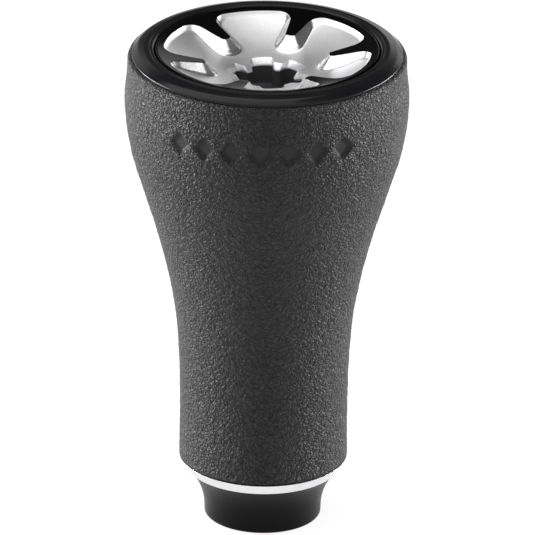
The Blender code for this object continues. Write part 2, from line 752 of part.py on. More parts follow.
def main():
    clear_scene()
    parts = new_collection("crank_handle_knob")
    cutters = new_collection("cutters")
    looks = make_looks()

    spin = bpy.data.objects.new("knob_spin_axis", None)
    spin.empty_display_size = 30 * MM
    parts.objects.link(spin)
    lift = bpy.data.objects.new("cap_lift_axis", None)
    lift.empty_display_size = 10 * MM
    parts.objects.link(lift)
    lift.parent = spin

    link(make_grip(), parts, spin, looks["grip_rubber"])
    link(make_former(), parts, spin, looks["former_nylon"])
    link(make_core_tube(), parts, spin, looks["core_aluminium"])
    link(make_circlip(cutters), parts, spin, looks["stainless"])
    link(make_collar(), parts, spin, looks["collar_black"])
    link(make_trim_ring(), parts, spin, looks["trim_aluminium"])
    link(make_dust_seal(), parts, spin, looks["seal_rubber"])
    link(make_bezel_ring(), parts, spin, looks["gloss_black"])

    link(make_end_cap(cutters), parts, lift, looks["cap_aluminium"])
    link(make_cap_o_ring(), parts, lift, looks["seal_rubber"])

    make_bearing("lower", LOWER_BEARING_HEIGHT, parts, cutters, spin, looks)
    make_bearing("upper", UPPER_BEARING_HEIGHT, parts, cutters, spin, looks)

    link(make_spindle_bush(), parts, None, looks["stainless"])
    link(make_spacer_tube(), parts, None, looks["core_aluminium"])
    link(make_wave_washer(), parts, None, looks["stainless"])
    link(make_retaining_washer(), parts, None, looks["stainless"])
    link(make_retaining_screw(cutters), parts, None, looks["stainless"])


main()
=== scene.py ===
"""Looks of the crank handle knob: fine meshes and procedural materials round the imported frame."""

import math

import bmesh
import bpy
import numpy as np
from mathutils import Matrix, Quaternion, Vector, noise


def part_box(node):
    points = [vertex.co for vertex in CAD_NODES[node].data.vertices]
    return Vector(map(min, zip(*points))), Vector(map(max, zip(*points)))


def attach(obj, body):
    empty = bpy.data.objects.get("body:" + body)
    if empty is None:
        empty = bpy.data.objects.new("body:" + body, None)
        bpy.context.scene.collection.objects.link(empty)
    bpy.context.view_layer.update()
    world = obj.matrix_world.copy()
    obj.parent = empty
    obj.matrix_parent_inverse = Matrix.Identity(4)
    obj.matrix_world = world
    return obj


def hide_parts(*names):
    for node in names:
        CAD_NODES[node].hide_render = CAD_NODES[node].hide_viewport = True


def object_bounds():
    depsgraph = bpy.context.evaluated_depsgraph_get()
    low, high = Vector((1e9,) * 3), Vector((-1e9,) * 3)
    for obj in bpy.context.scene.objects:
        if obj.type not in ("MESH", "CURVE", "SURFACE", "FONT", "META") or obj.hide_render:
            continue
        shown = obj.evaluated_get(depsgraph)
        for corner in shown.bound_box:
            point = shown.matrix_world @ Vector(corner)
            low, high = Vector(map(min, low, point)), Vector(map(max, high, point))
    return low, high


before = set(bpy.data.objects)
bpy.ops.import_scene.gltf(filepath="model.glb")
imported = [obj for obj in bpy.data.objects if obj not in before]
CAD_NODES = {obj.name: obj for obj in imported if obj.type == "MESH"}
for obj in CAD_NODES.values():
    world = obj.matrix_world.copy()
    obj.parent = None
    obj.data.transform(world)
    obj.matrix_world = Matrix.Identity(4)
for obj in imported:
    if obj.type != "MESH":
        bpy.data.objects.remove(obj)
CAD_LOW, CAD_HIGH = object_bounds()

MM = 0.001
TURNED_POINTS = 256  # round each turned piece
FILLET_STEPS = 5
FILLET_SHARE = 0.49  # the most of a side's length that a fillet may take


# --- meshes -------------------------------------------------------------------

def mm(points):
    """(radius, height, fillet) corners, from millimetres to metres."""
    return [(r * MM, z * MM, fillet * MM) for r, z, fillet in points]


def mesh_from_rings(name, rings):
    """Quads through rings of equally many points, the last ring joined to the first."""
    rings = np.asarray(rings, float)
    count, around = rings.shape[0], rings.shape[1]
    column = np.arange(around)
    following = (column + 1) % around
    faces = []
    for index in range(count):
        here = index * around
        there = ((index + 1) % count) * around
        faces.append(np.stack([here + column, there + column, there + following, here + following], 1))
    faces = np.concatenate(faces)
    mesh = bpy.data.meshes.new(name)
    mesh.vertices.add(count * around)
    mesh.vertices.foreach_set("co", rings.reshape(-1))
    mesh.loops.add(len(faces) * 4)
    mesh.loops.foreach_set("vertex_index", faces.reshape(-1))
    mesh.polygons.add(len(faces))
    mesh.polygons.foreach_set("loop_start", np.arange(len(faces)) * 4)
    mesh.update(calc_edges=True)
    mesh.validate()
    return mesh


def facing_out(mesh):
    """Turns every face of a closed mesh outwards."""
    work = bmesh.new()
    work.from_mesh(mesh)
    bmesh.ops.recalc_face_normals(work, faces=work.faces)
    if work.calc_volume(signed=True) < 0:
        bmesh.ops.reverse_faces(work, faces=work.faces)
    work.to_mesh(mesh)
    work.free()


def rounded(corners):
    """A closed outline of (radius, height) points through (radius, height, fillet) corners."""
    points = []
    count = len(corners)
    for index, (r, z, fillet) in enumerate(corners):
        here = Vector((r, z))
        back = Vector(corners[index - 1][:2]) - here
        ahead = Vector(corners[(index + 1) % count][:2]) - here
        if fillet <= 0:
            points.append((r, z))
            continue
        cut = fillet / math.tan(back.angle(ahead) / 2)
        cut = min(cut, back.length * FILLET_SHARE, ahead.length * FILLET_SHARE)
        start = here + back.normalized() * cut
        end = here + ahead.normalized() * cut
        for step in range(FILLET_STEPS + 1):
            t = step / FILLET_STEPS
            point = start * (1 - t) ** 2 + here * 2 * t * (1 - t) + end * t ** 2
            points.append((point.x, point.y))
    return points


def turned_mesh(name, outline):
    """A closed outline of (radius, height) points, turned about the knob's axis."""
    angles = np.linspace(0, math.tau, TURNED_POINTS, endpoint=False)
    outline = np.asarray(outline, float)
    rings = np.empty((len(outline), TURNED_POINTS, 3))
    rings[:, :, 0] = outline[:, 0:1] * np.cos(angles)
    rings[:, :, 1] = outline[:, 0:1] * np.sin(angles)
    rings[:, :, 2] = outline[:, 1:2]
    mesh = mesh_from_rings(name, rings)
    facing_out(mesh)
    return mesh


def add_piece(name, mesh, body, nodes, looks, sharp=35):
    """Puts a mesh in the scene as the piece that stands for these CAD nodes."""
    mesh.shade_smooth()
    mesh.set_sharp_from_angle(angle=math.radians(sharp))
    piece = bpy.data.objects.new(name, mesh)
    bpy.context.scene.collection.objects.link(piece)
    for look in looks:
        mesh.materials.append(look)
    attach(piece, body)
    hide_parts(*nodes)


# --- materials ----------------------------------------------------------------

class Look:
    """A Principled material with a few helpers for its nodes."""

    def __init__(self, name, colour, roughness, metallic=0.0, **sockets):
        self.material = bpy.data.materials.new(name)
        self.material.use_nodes = True
        self.nodes = self.material.node_tree.nodes
        self.links = self.material.node_tree.links
        self.shader = self.nodes["Principled BSDF"]
        self.set("Base Color", (*colour, 1.0))
        self.set("Roughness", roughness)
        self.set("Metallic", metallic)
        for socket, value in sockets.items():
            self.set(socket.replace("_", " "), value)
        self.place = self.nodes.new("ShaderNodeTexCoord").outputs["Object"]

    def set(self, socket, value):
        self.shader.inputs[socket].default_value = value

    def join(self, output, socket):
        """Links an output to a socket, or to the shader's socket of that name."""
        if isinstance(socket, str):
            socket = self.shader.inputs[socket]
        self.links.new(output, socket)

    def stretched(self, scale):
        mapping = self.nodes.new("ShaderNodeMapping")
        mapping.inputs["Scale"].default_value = scale
        self.join(self.place, mapping.inputs["Vector"])
        return mapping.outputs["Vector"]

    def noise(self, size, detail=4.0, roughness=0.55, stretch=None, distortion=0.0):
        node = self.nodes.new("ShaderNodeTexNoise")
        node.inputs["Scale"].default_value = 1 / size
        node.inputs["Detail"].default_value = detail
        node.inputs["Roughness"].default_value = roughness
        node.inputs["Distortion"].default_value = distortion
        self.join(self.stretched(stretch) if stretch else self.place, node.inputs["Vector"])
        return node.outputs["Fac"]

    def cells(self, size, place):
        """Distance from the borders between cells of about this size."""
        node = self.nodes.new("ShaderNodeTexVoronoi")
        node.feature = "DISTANCE_TO_EDGE"
        node.inputs["Scale"].default_value = 1 / size
        self.join(place, node.inputs["Vector"])
        return node.outputs["Distance"]

    def warped(self, size, amount):
        """The place, pushed about by a soft noise, so that cells lose their straight sides."""
        node = self.nodes.new("ShaderNodeTexNoise")
        node.inputs["Scale"].default_value = 1 / size
        node.inputs["Detail"].default_value = 2.0
        self.join(self.place, node.inputs["Vector"])
        add = self.nodes.new("ShaderNodeVectorMath")
        add.operation = "MULTIPLY_ADD"
        self.join(node.outputs["Color"], add.inputs[0])
        add.inputs[1].default_value = (amount, amount, amount)
        self.join(self.place, add.inputs[2])
        return add.outputs["Vector"]

    def ranged(self, value, low, high, out_low, out_high):
        node = self.nodes.new("ShaderNodeMapRange")
        node.inputs["From Min"].default_value = low
        node.inputs["From Max"].default_value = high
        node.inputs["To Min"].default_value = out_low
        node.inputs["To Max"].default_value = out_high
        self.join(value, node.inputs["Value"])
        return node.outputs["Result"]

    def ramp(self, value, low, low_colour, high, high_colour):
        node = self.nodes.new("ShaderNodeValToRGB")
        stops = ((low, low_colour), (high, high_colour))
        for element, (position, colour) in zip(node.color_ramp.elements, stops):
            element.position = position
            element.color = (*colour, 1.0)
        self.join(value, node.inputs["Fac"])
        return node.outputs["Color"]

    def maths(self, operation, a, b):
        node = self.nodes.new("ShaderNodeMath")
        node.operation = operation
        for socket, value in zip(node.inputs, (a, b)):
            if isinstance(value, (int, float)):
                socket.default_value = value
            else:
                self.join(value, socket)
        return node.outputs["Value"]

    def bump(self, height, distance, strength):
        node = self.nodes.new("ShaderNodeBump")
        node.inputs["Distance"].default_value = distance
        node.inputs["Strength"].default_value = strength
        self.join(height, node.inputs["Height"])
        self.join(node.outputs["Normal"], "Normal")


def darker(colour, share):
    """A colour at this share of its brightness."""
    return tuple(c * share for c in colour)


def gloss_black_look():
    look = Look("gloss_black_moulding", (0.004, 0.004, 0.005), 0.2, Specular_IOR_Level=0.24)
    haze = look.noise(6 * MM)
    look.join(look.ranged(haze, 0.3, 0.7, 0.18, 0.24), "Roughness")
    look.join(look.ramp(haze, 0.3, (0.003, 0.003, 0.004), 0.7, (0.006, 0.006, 0.007)), "Base Color")
    look.bump(look.noise(1.5 * MM, 2.0), 0.002 * MM, 0.3)
    return look.material


def turned_metal_look(name, colour, roughness):
    """Turned metal: fine rings round the axis, stacked up its height."""
    look = Look(name, colour, roughness, 1.0)
    lines = look.noise(0.12 * MM, 2.0, 0.5, stretch=(0.02, 0.02, 1.0))
    smudge = look.noise(3 * MM)
    line_rough = look.ranged(lines, 0.3, 0.7, -0.04, 0.04)
    smudge_rough = look.ranged(smudge, 0.3, 0.7, roughness - 0.03, roughness + 0.05)
    look.join(look.maths("ADD", line_rough, smudge_rough), "Roughness")
    look.join(look.ramp(smudge, 0.3, darker(colour, 0.9), 0.7, colour), "Base Color")
    look.bump(lines, 0.004 * MM, 0.5)
    return look.material


def blasted_metal_look(name, colour, roughness, grain, depth):
    """Bare metal with an even speckle. Grain and depth are in millimetres."""
    look = Look(name, colour, roughness, 1.0)
    speck = look.noise(grain * MM, 3.0, 0.6)
    smudge = look.noise(4 * MM, 3.0)
    look.join(look.ramp(speck, 0.3, darker(colour, 0.86), 0.65, colour), "Base Color")
    look.join(look.ranged(smudge, 0.3, 0.7, roughness - 0.03, roughness + 0.04), "Roughness")
    look.bump(speck, depth * MM, 0.6)
    return look.material


def coated_black_look(name, roughness, specular):
    look = Look(name, (0.0012, 0.0012, 0.0015), roughness, Specular_IOR_Level=specular)
    speck = look.noise(0.25 * MM, 3.0, 0.6)
    smudge = look.noise(5 * MM)
    look.join(look.ranged(smudge, 0.3, 0.7, roughness - 0.04, roughness + 0.05), "Roughness")
    look.join(look.ramp(speck, 0.3, (0.0008, 0.0008, 0.001), 0.7, (0.002, 0.002, 0.0024)), "Base Color")
    look.bump(speck, 0.003 * MM, 0.4)
    return look.material


def rubber_look(name, colour, roughness):
    look = Look(name, colour, roughness)
    speck = look.noise(0.3 * MM, 4.0, 0.6)
    bloom = look.noise(3 * MM, 3.0)
    look.join(look.ramp(bloom, 0.3, darker(colour, 0.7), 0.7, colour), "Base Color")
    look.join(look.ranged(speck, 0.3, 0.7, roughness - 0.08, roughness + 0.08), "Roughness")
    look.bump(speck, 0.01 * MM, 0.5)
    return look.material


# --- the grip -----------------------------------------------------------------

GRIP_ROUND = 420
GRIP_ROWS = 212
GRIP_SAMPLES = 1200
GRIP_INNER_STEPS = 12
FACING_OUT = 0.3  # least outward part of a normal on the outer side
GRIP_RISE = 0.17 * MM  # of the top edge above the CAD grip, up to the bezel
GRIP_TUCK = 0.08 * MM  # of the top edge inwards
GRIP_EDGE = 0.4 * MM
GRIP_WALL = 1.7 * MM
GRIP_LIP_RADIUS = 16.35 * MM
GRIP_LIP_BOTTOM = 63.5 * MM
GRIP_POCKET_RADIUS = 17.05 * MM
GRIP_POCKET_TOP = 62.95 * MM
GRIP_WALL_TOP = 60 * MM
GRIP_FOOT_RADIUS = 11.35 * MM
GRIP_FOOT_RISE = 0.5 * MM
GRIP_END_SKIP = (0.3 * MM, 0.6 * MM)  # the CAD grip's own rounded edges, left out at each end

GRAIN_SEED = 7  # the noise vectors start from the clock without one
GRAIN_DEPTH = 0.10 * MM
GRAIN_FADE_ROWS = 4.0  # over which the grain runs out at each end
GRAIN_CELL = 0.68 * MM
GRAIN_RIDGE = 0.7 * MM
GRAIN_WARP_SIZE = 0.85 * MM
GRAIN_WARP = 1.0 * MM
GRAIN_BUMP = 0.24 * MM
SMOOTH_LEVEL = 0.9  # height of the marks' smooth floors on the fine grain's scale

MARK_COUNT = 7
MARK_STEP = math.radians(11.6)
MARK_HALF_WIDTH = 1.55 * MM
MARK_HALF_HEIGHT = 1.65 * MM
MARK_DEPTH = 0.5 * MM
MARK_FRONT = math.radians(-92.5)
MARK_MIDDLE = 59.8 * MM
MARK_SLOPE_SHARE = 0.24  # of a mark's half size that its sloped side takes
MARK_EDGE_DEPTH = 0.2
MARK_SMOOTHING = 0.9


def grip_look():
    """Fine grain over the modelled one: warped pebbles with ridges, and smooth on the marks; its base
    colour paints shade into the creases.
    """
    look = Look("grip_grain_and_crease_shade", (0.02, 0.02, 0.022), 0.5, Specular_IOR_Level=0.3)
    creases = look.cells(GRAIN_CELL, look.warped(GRAIN_WARP_SIZE, GRAIN_WARP))
    pebble = look.ranged(creases, 0.0, 0.2, 0.0, 1.0)
    ridges = look.noise(GRAIN_RIDGE, 1.5, 0.5, distortion=1.8)
    height = look.maths("ADD", look.maths("MULTIPLY", pebble, 0.5), look.maths("MULTIPLY", ridges, 1.1))
    mask = look.nodes.new("ShaderNodeAttribute")
    mask.attribute_name = "grain"
    over = look.maths("SUBTRACT", height, SMOOTH_LEVEL)
    height = look.maths("ADD", look.maths("MULTIPLY", over, mask.outputs["Fac"]), SMOOTH_LEVEL)
    look.bump(height, GRAIN_BUMP, 1.0)
    # Painted shade: the base colour darkens towards the low creases of the grain, standing in for shade
    # there.
    look.join(look.ramp(height, 0.35, (0.002, 0.002, 0.0025), 1.0, (0.0195, 0.0195, 0.0215)), "Base Color")
    look.join(look.ranged(height, 0.5, 1.1, 0.62, 0.47), "Roughness")
    return look.material


def outer_knots(node):
    """The outer side of a turned CAD node as rising (height, radius) knots."""
    found = {}
    for vertex in CAD_NODES[node].data.vertices:
        x, y, z = vertex.co
        radius = math.hypot(x, y)
        outward = (vertex.normal.x * x + vertex.normal.y * y) / radius
        if outward > FACING_OUT:
            height = round(z, 7)
            found[height] = max(radius, found.get(height, 0.0))
    return sorted(found.items())


def smooth_through(knots, heights):
    """Radius at each height, on a smooth curve through the knots."""
    z = np.array([k[0] for k in knots])
    r = np.array([k[1] for k in knots])
    slope = np.gradient(r, z)
    place = np.clip(np.searchsorted(z, heights, side="right") - 1, 0, len(z) - 2)
    width = z[place + 1] - z[place]
    t = (heights - z[place]) / width
    h00 = 2 * t ** 3 - 3 * t ** 2 + 1
    h10 = t ** 3 - 2 * t ** 2 + t
    h11 = t ** 3 - t ** 2
    ends = h00 * r[place] + (1 - h00) * r[place + 1]
    return ends + width * (h10 * slope[place] + h11 * slope[place + 1])


def grip_outline():
    """The outer side from the bottom edge to the top edge, as evenly spaced radii and heights."""
    low, high = (corner.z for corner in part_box("grip"))
    high += GRIP_RISE
    first, last = low + GRIP_END_SKIP[0], high - GRIP_END_SKIP[1]
    knots = [knot for knot in outer_knots("grip") if first < knot[0] < last]
    knots = [(low, knots[0][1])] + knots[1:] + [(high, knots[-1][1] - GRIP_TUCK)]
    heights = np.linspace(low, high, GRIP_SAMPLES)
    radii = smooth_through(knots, heights)
    for end, sign in ((low, 1), (high, -1)):
        away = np.clip(GRIP_EDGE - sign * (heights - end), 0, GRIP_EDGE)
        radii -= GRIP_EDGE - np.sqrt(np.maximum(GRIP_EDGE ** 2 - away ** 2, 0))
    length = np.concatenate([[0], np.cumsum(np.hypot(np.diff(radii), np.diff(heights)))])
    even = np.linspace(0, length[-1], GRIP_ROWS)
    return np.interp(even, length, radii), np.interp(even, length, heights)


def grip_inside(radii, heights):
    """The hidden side, from the lip under the bezel down to the foot, as (radius, height)."""
    low, high = heights[0], heights[-1]
    outline = list(zip(heights, radii))
    inner = [(GRIP_LIP_RADIUS, high), (GRIP_LIP_RADIUS, GRIP_LIP_BOTTOM)]
    inner.append((GRIP_POCKET_RADIUS, GRIP_POCKET_TOP))
    for z in np.linspace(GRIP_WALL_TOP, low + GRIP_FOOT_RISE, GRIP_INNER_STEPS):
        inner.append((float(smooth_through(outline, np.array([z]))[0]) - GRIP_WALL, z))
    inner.append((GRIP_FOOT_RADIUS - GRIP_WALL, low))
    return inner


def grain_at(point):
    """Height of the moulded leather grain at a place on the grip, about 0 to 1."""
    spot = point * 1000.0  # in mm
    push = noise.noise_vector(spot * 0.9) * 0.45
    near = noise.voronoi(spot * 1.15 + push, distance_metric="DISTANCE", exponent=2.5)[0]
    crease = min(max((near[1] - near[0]) * 2.2, 0.0), 1.0)
    swell = noise.noise(spot * 0.45) * 0.35
    fine = noise.noise(spot * 2.4) * 0.35
    return 0.55 * crease + swell + fine


def mark_at(angle, height, radius):
    """How deep the row of small lozenges is pressed in at a place, from 0 to 1."""
    if abs(height - MARK_MIDDLE) > 2 * MARK_HALF_HEIGHT:
        return 0.0
    across = (angle - MARK_FRONT + math.pi) % math.tau - math.pi
    index = round(across / MARK_STEP)
    if abs(index) > MARK_COUNT // 2:
        return 0.0
    along = (across - index * MARK_STEP) * radius / MARK_HALF_WIDTH
    up = (height - MARK_MIDDLE) / MARK_HALF_HEIGHT
    inside = 1.0 - (abs(along) + abs(up))
    return min(max(inside / MARK_SLOPE_SHARE + MARK_EDGE_DEPTH, 0.0), 1.0)


def make_grip():
    noise.seed_set(GRAIN_SEED)
    radii, heights = grip_outline()
    angles = np.linspace(0, math.tau, GRIP_ROUND, endpoint=False)
    slope_r = np.gradient(radii)
    slope_z = np.gradient(heights)
    size = np.hypot(slope_r, slope_z)
    out_r, out_z = slope_z / size, -slope_r / size
    rows = np.arange(GRIP_ROWS)
    fade = np.clip(np.minimum(rows, rows[::-1]) / GRAIN_FADE_ROWS, 0, 1)
    rings = np.empty((GRIP_ROWS, GRIP_ROUND, 3))
    marks = np.zeros((GRIP_ROWS, GRIP_ROUND))
    for row in range(GRIP_ROWS):
        for column, angle in enumerate(angles):
            c, s = math.cos(angle), math.sin(angle)
            base = Vector((radii[row] * c, radii[row] * s, heights[row]))
            mark = mark_at(angle, heights[row], radii[row])
            marks[row, column] = mark
            grain = (1.0 - grain_at(base)) * (1 - MARK_SMOOTHING * mark) * fade[row]
            lift = -GRAIN_DEPTH * grain - MARK_DEPTH * mark
            rings[row, column] = (
                base.x + lift * out_r[row] * c,
                base.y + lift * out_r[row] * s,
                base.z + lift * out_z[row],
            )
    inner_rings = [[(r * math.cos(a), r * math.sin(a), z) for a in angles]
                   for r, z in grip_inside(radii, heights)]
    mesh = mesh_from_rings("grip_skin", np.concatenate([rings, np.array(inner_rings)]))
    inside = np.zeros(len(inner_rings) * GRIP_ROUND)
    grain_mask = mesh.attributes.new("grain", "FLOAT", "POINT")
    grain_mask.data.foreach_set("value", np.concatenate([1.0 - MARK_SMOOTHING * marks.reshape(-1), inside]))
    facing_out(mesh)
    add_piece("grip_skin", mesh, "knob", ["grip"], [grip_look()], sharp=60)


# --- bezel, trim ring and collar ------------------------------------------------

BEZEL_CORNERS = [  # (radius, height, fillet) in mm: crest, shoulder, flange, bore, inner bead
    (16.3, 67.42, 0.8), (17.35, 67.14, 1.2), (18.0, 66.62, 0.16), (18.0, 66.28, 0.04),
    (16.1, 66.28, 0.04), (16.1, 63.55, 0.15), (15.06, 63.55, 0.15), (15.06, 67.18, 0.05),
    (15.26, 67.38, 0.06), (15.58, 67.39, 0.03), (15.66, 67.30, 0.03), (15.74, 67.40, 0.03),
]
TRIM_CORNERS = [(11.32, 8.57, 0.04), (10.47, 7.08, 0.07), (7.3, 7.08, 0.05), (7.3, 8.57, 0.05)]
COLLAR_RADIUS = 7.85  # mm
COLLAR_FLARE = 9.0
COLLAR_FLARE_START = 0.8
COLLAR_FLARE_TURN = math.radians(43.9)
COLLAR_FLARE_STEPS = 24
COLLAR_SPIGOT = [(7.05, 12.5, 0.3), (7.05, 7.04, 0.05)]
COLLAR_BORE = [
    (7.82, 0.0, 0.35), (6.1, 0.0, 0.25), (6.1, 4.7, 0.05), (5.2, 4.7, 0.05), (5.2, 12.5, 0.2),
]


def make_bezel():
    mesh = turned_mesh("bezel", rounded(mm(BEZEL_CORNERS)))
    add_piece("bezel", mesh, "knob", ["bezel_ring"], [gloss_black_look()])


def make_trim():
    mesh = turned_mesh("bright_trim_ring", rounded(mm(TRIM_CORNERS)))
    look = turned_metal_look("bright_turned_trim", (0.80, 0.80, 0.81), 0.28)
    add_piece("bright_trim_ring", mesh, "knob", ["trim_ring"], [look])


def make_collar():
    """The collar's outside is an arc that leaves the upright foot and flares up to the trim ring."""
    flare = []
    for step in range(COLLAR_FLARE_STEPS + 1):
        turn = math.pi - COLLAR_FLARE_TURN * (1 - step / COLLAR_FLARE_STEPS)
        radius = COLLAR_RADIUS + COLLAR_FLARE * (1 + math.cos(turn))
        flare.append((radius, COLLAR_FLARE_START + COLLAR_FLARE * math.sin(turn), 0.0))
    mesh = turned_mesh("black_collar", rounded(mm(COLLAR_SPIGOT + flare + COLLAR_BORE)))
    look = coated_black_look("collar_coating", 0.34, 0.10)
    add_piece("black_collar", mesh, "knob", ["collar"], [look])


# --- end cap --------------------------------------------------------------------

CAP_TURN = math.radians(9.6)
SECTORS = 6
HALF_SECTOR = math.pi / SECTORS
SECTOR_STEPS = (3, 6, 14, 14, 12)  # along a tooth's end, its rounding, its flank, the corner, the arc

# The cap's lengths are in mm
CAP_RADIUS = 14.9
CAP_BOTTOM = 63.6
CAP_CHAMFER_HEIGHT = 0.25
CAP_EDGE = ((14.9, 0.3), (14.87, 0.16), (14.79, 0.06), (14.68, 0.012), (14.55, 0.0))  # radius, drop
FACE_RADIUS = 14.4  # where the plain dished face begins
FACE_DISH = (65.4, 0.0090)  # height on the axis, and rise per squared radius
FLOOR_DISH = (63.3, 0.0175)
FACE_EDGE = ((-0.08, 0.006), (-0.03, 0.022))  # the face's rounded edge: distance in, drop
FACE_EDGE_DROP = 0.06
FACE_EDGE_WIDTH = 0.16
POCKET_RADIUS = 13.8
POCKET_CORNER = 1.8
POCKET_TOOTH_TIP = 8.35
POCKET_TOOTH_HALF_WIDTH = 0.65
POCKET_TOOTH_ROUND = 0.5
POCKET_TOOTH_LEAN = math.radians(9.6)
TOOTH_WALL = math.radians(52)
OUTER_WALL = math.radians(60)
WALL_ROUNDS = 60  # of closing in on the wall's run
WALL_KEPT = 0.6  # of the last round's run
WALL_SHARES = (0.12, 0.3, 0.45, 0.6, 0.72)  # of the straight wall's run
WALL_FOOT = ((0.82, 0.195), (0.92, 0.115), (1.02, 0.058), (1.14, 0.024))  # share, lift
FLOOR_FOOT = ((1.28, 0.006), (1.45, 0.0))
FLOOR_START = 1.6
FLOOR_STEPS = 8
FACE_STEPS = 4
KEY_LOBE_RADIUS = 4.85
KEY_LOBE_CORNER = 0.5
KEY_LOBE_SIDE = math.radians(30)
KEY_TOOTH_RADIUS = 3.6
KEY_TOOTH_HALF_WIDTH = 0.43
KEY_TOOTH_ROUND = 0.28
KEY_FLANK_SHARE = 0.25  # of the ends' growth, at the lobes' sides
KEY_FLOOR_GROWTH = 0.66
KEY_BEVEL = ((0.62, 0.0), (0.58, 0.02), (0.53, 0.06), (0.05, 0.66), (0.0, 0.76), (0.0, 0.9))
KEY_HEIGHTS = (62.2, 61.3)
WEB_HEIGHT = 60.4
SKIRT_BORE = 5.9
SKIRT_RADIUS = 7.1
SKIRT_BOTTOM = 57.5
SKIRT_CHAMFER = 0.2
UNDERSIDE_RADIUS = 14.7


def half_sector(tip, half_tip, lean, outer, tip_round, corner_round):
    """From the middle of a tooth to the middle of a pocket: points and normals into the pocket.

    The tooth lies along +X, its blunt end at x = tip; its flank leans out by an angle, and the
    corner is an arc that touches the flank and the circle of the pocket's outer radius.
    """
    slope, cosine = math.tan(lean), math.cos(lean)
    end_centre = (tip + tip_round, half_tip + tip_round * slope - tip_round / cosine)
    across = half_tip - tip * slope + corner_round / cosine
    reach = outer - corner_round
    a, b, c = 1 + slope ** 2, slope * across, across ** 2 - reach ** 2
    cx = (-b + math.sqrt(b * b - a * c)) / a
    cy = across + slope * cx
    n_end, n_round, n_flank, n_corner, n_outer = SECTOR_STEPS
    points, normals = [], []

    def add(x, y, nx, ny):
        points.append((x, y))
        normals.append((nx, ny))

    for step in range(n_end):
        add(tip, end_centre[1] * step / n_end, -1.0, 0.0)
    for step in range(n_round):
        turn = math.pi + (math.pi / 2 + lean - math.pi) * step / n_round
        nx, ny = math.cos(turn), math.sin(turn)
        add(end_centre[0] + tip_round * nx, end_centre[1] + tip_round * ny, nx, ny)
    nx, ny = -math.sin(lean), math.cos(lean)
    first = (end_centre[0] + tip_round * nx, end_centre[1] + tip_round * ny)
    last = (cx - corner_round * nx, cy - corner_round * ny)
    for step in range(n_flank):
        t = step / n_flank
        add(first[0] + (last[0] - first[0]) * t, first[1] + (last[1] - first[1]) * t, nx, ny)
    start, stop = lean - math.pi / 2, math.atan2(cy, cx)
    for step in range(n_corner):
        turn = start + (stop - start) * step / n_corner
        nx, ny = -math.cos(turn), -math.sin(turn)
        add(cx - corner_round * nx, cy - corner_round * ny, nx, ny)
    for step in range(n_outer + 1):
        turn = stop + (HALF_SECTOR - stop) * step / n_outer
        add(outer * math.cos(turn), outer * math.sin(turn), -math.cos(turn), -math.sin(turn))
    return points, normals


def whole_outline(points, normals):
    """The half sector mirrored about the pocket's middle and repeated round the axis."""
    point = np.array([complex(*p) for p in points])
    normal = np.array([complex(*n) for n in normals])
    fold = np.exp(2j * HALF_SECTOR)
    point = np.concatenate([point, (np.conj(point) * fold)[::-1][1:-1]])
    normal = np.concatenate([normal, (np.conj(normal) * fold)[::-1][1:-1]])
    turns = np.exp(1j * (CAP_TURN + 2 * HALF_SECTOR * np.arange(SECTORS)))
    return (turns[:, None] * point).reshape(-1), (turns[:, None] * normal).reshape(-1)


def pocket_outline():
    """The pockets' edge in the black face, and the directions into the pockets."""
    return whole_outline(*half_sector(
        POCKET_TOOTH_TIP, POCKET_TOOTH_HALF_WIDTH, POCKET_TOOTH_LEAN, POCKET_RADIUS,
        POCKET_TOOTH_ROUND, POCKET_CORNER,
    ))


def key_edge(grown):
    """The key hole's outline, grown outwards at its round ends and less at its flanks."""
    widening = math.tan(KEY_LOBE_SIDE) - KEY_FLANK_SHARE / math.cos(KEY_LOBE_SIDE)
    sector = half_sector(
        KEY_TOOTH_RADIUS + grown, KEY_TOOTH_HALF_WIDTH + grown * widening, KEY_LOBE_SIDE,
        KEY_LOBE_RADIUS + grown, KEY_TOOTH_ROUND, KEY_LOBE_CORNER,
    )
    return whole_outline(*sector)[0]


def dished(dish, plan):
    """The height of a dished surface above each point of the plan."""
    return dish[0] + dish[1] * np.abs(plan) ** 2


def wall_run(plan, into, slope):
    """How far the sloped wall below each point of the pocket's edge runs before it meets the floor."""
    run = np.zeros(len(plan))
    for _ in range(WALL_ROUNDS):
        depth = dished(FACE_DISH, plan) - dished(FLOOR_DISH, plan + into * run)
        run = WALL_KEPT * run + (1 - WALL_KEPT) * np.maximum(depth, 0.0) / slope
    return run


def off_the_tooth():
    """How far each column of the pocket's edge is off the tooth: 0 on its flank, 1 on the outer arc."""
    flank, corner = sum(SECTOR_STEPS[:3]), SECTOR_STEPS[3]
    half = np.clip((np.arange(sum(SECTOR_STEPS) + 1) - flank) / corner, 0, 1)
    return np.tile(np.concatenate([half, half[::-1][1:-1]]), SECTORS)


BLACK, WALL, FLOOR, PLAIN, BEVEL, BORE = range(6)


def cap_looks():
    """The cap's materials, in the order of the names above."""
    return [
        coated_black_look("cap_black_coating", 0.16, 0.06),
        blasted_metal_look("cap_bright_cut", (0.93, 0.93, 0.94), 0.22, 0.8, 0.02),
        blasted_metal_look("cap_satin_floor", (0.86, 0.86, 0.87), 0.42, 0.16, 0.006),
        turned_metal_look("cap_turned_skirt", (0.7, 0.71, 0.73), 0.35),
        blasted_metal_look("cap_key_bevel", (0.95, 0.95, 0.96), 0.38, 0.3, 0.003),
        rubber_look("cap_key_bore_black", (0.045, 0.045, 0.047), 0.55),
    ]


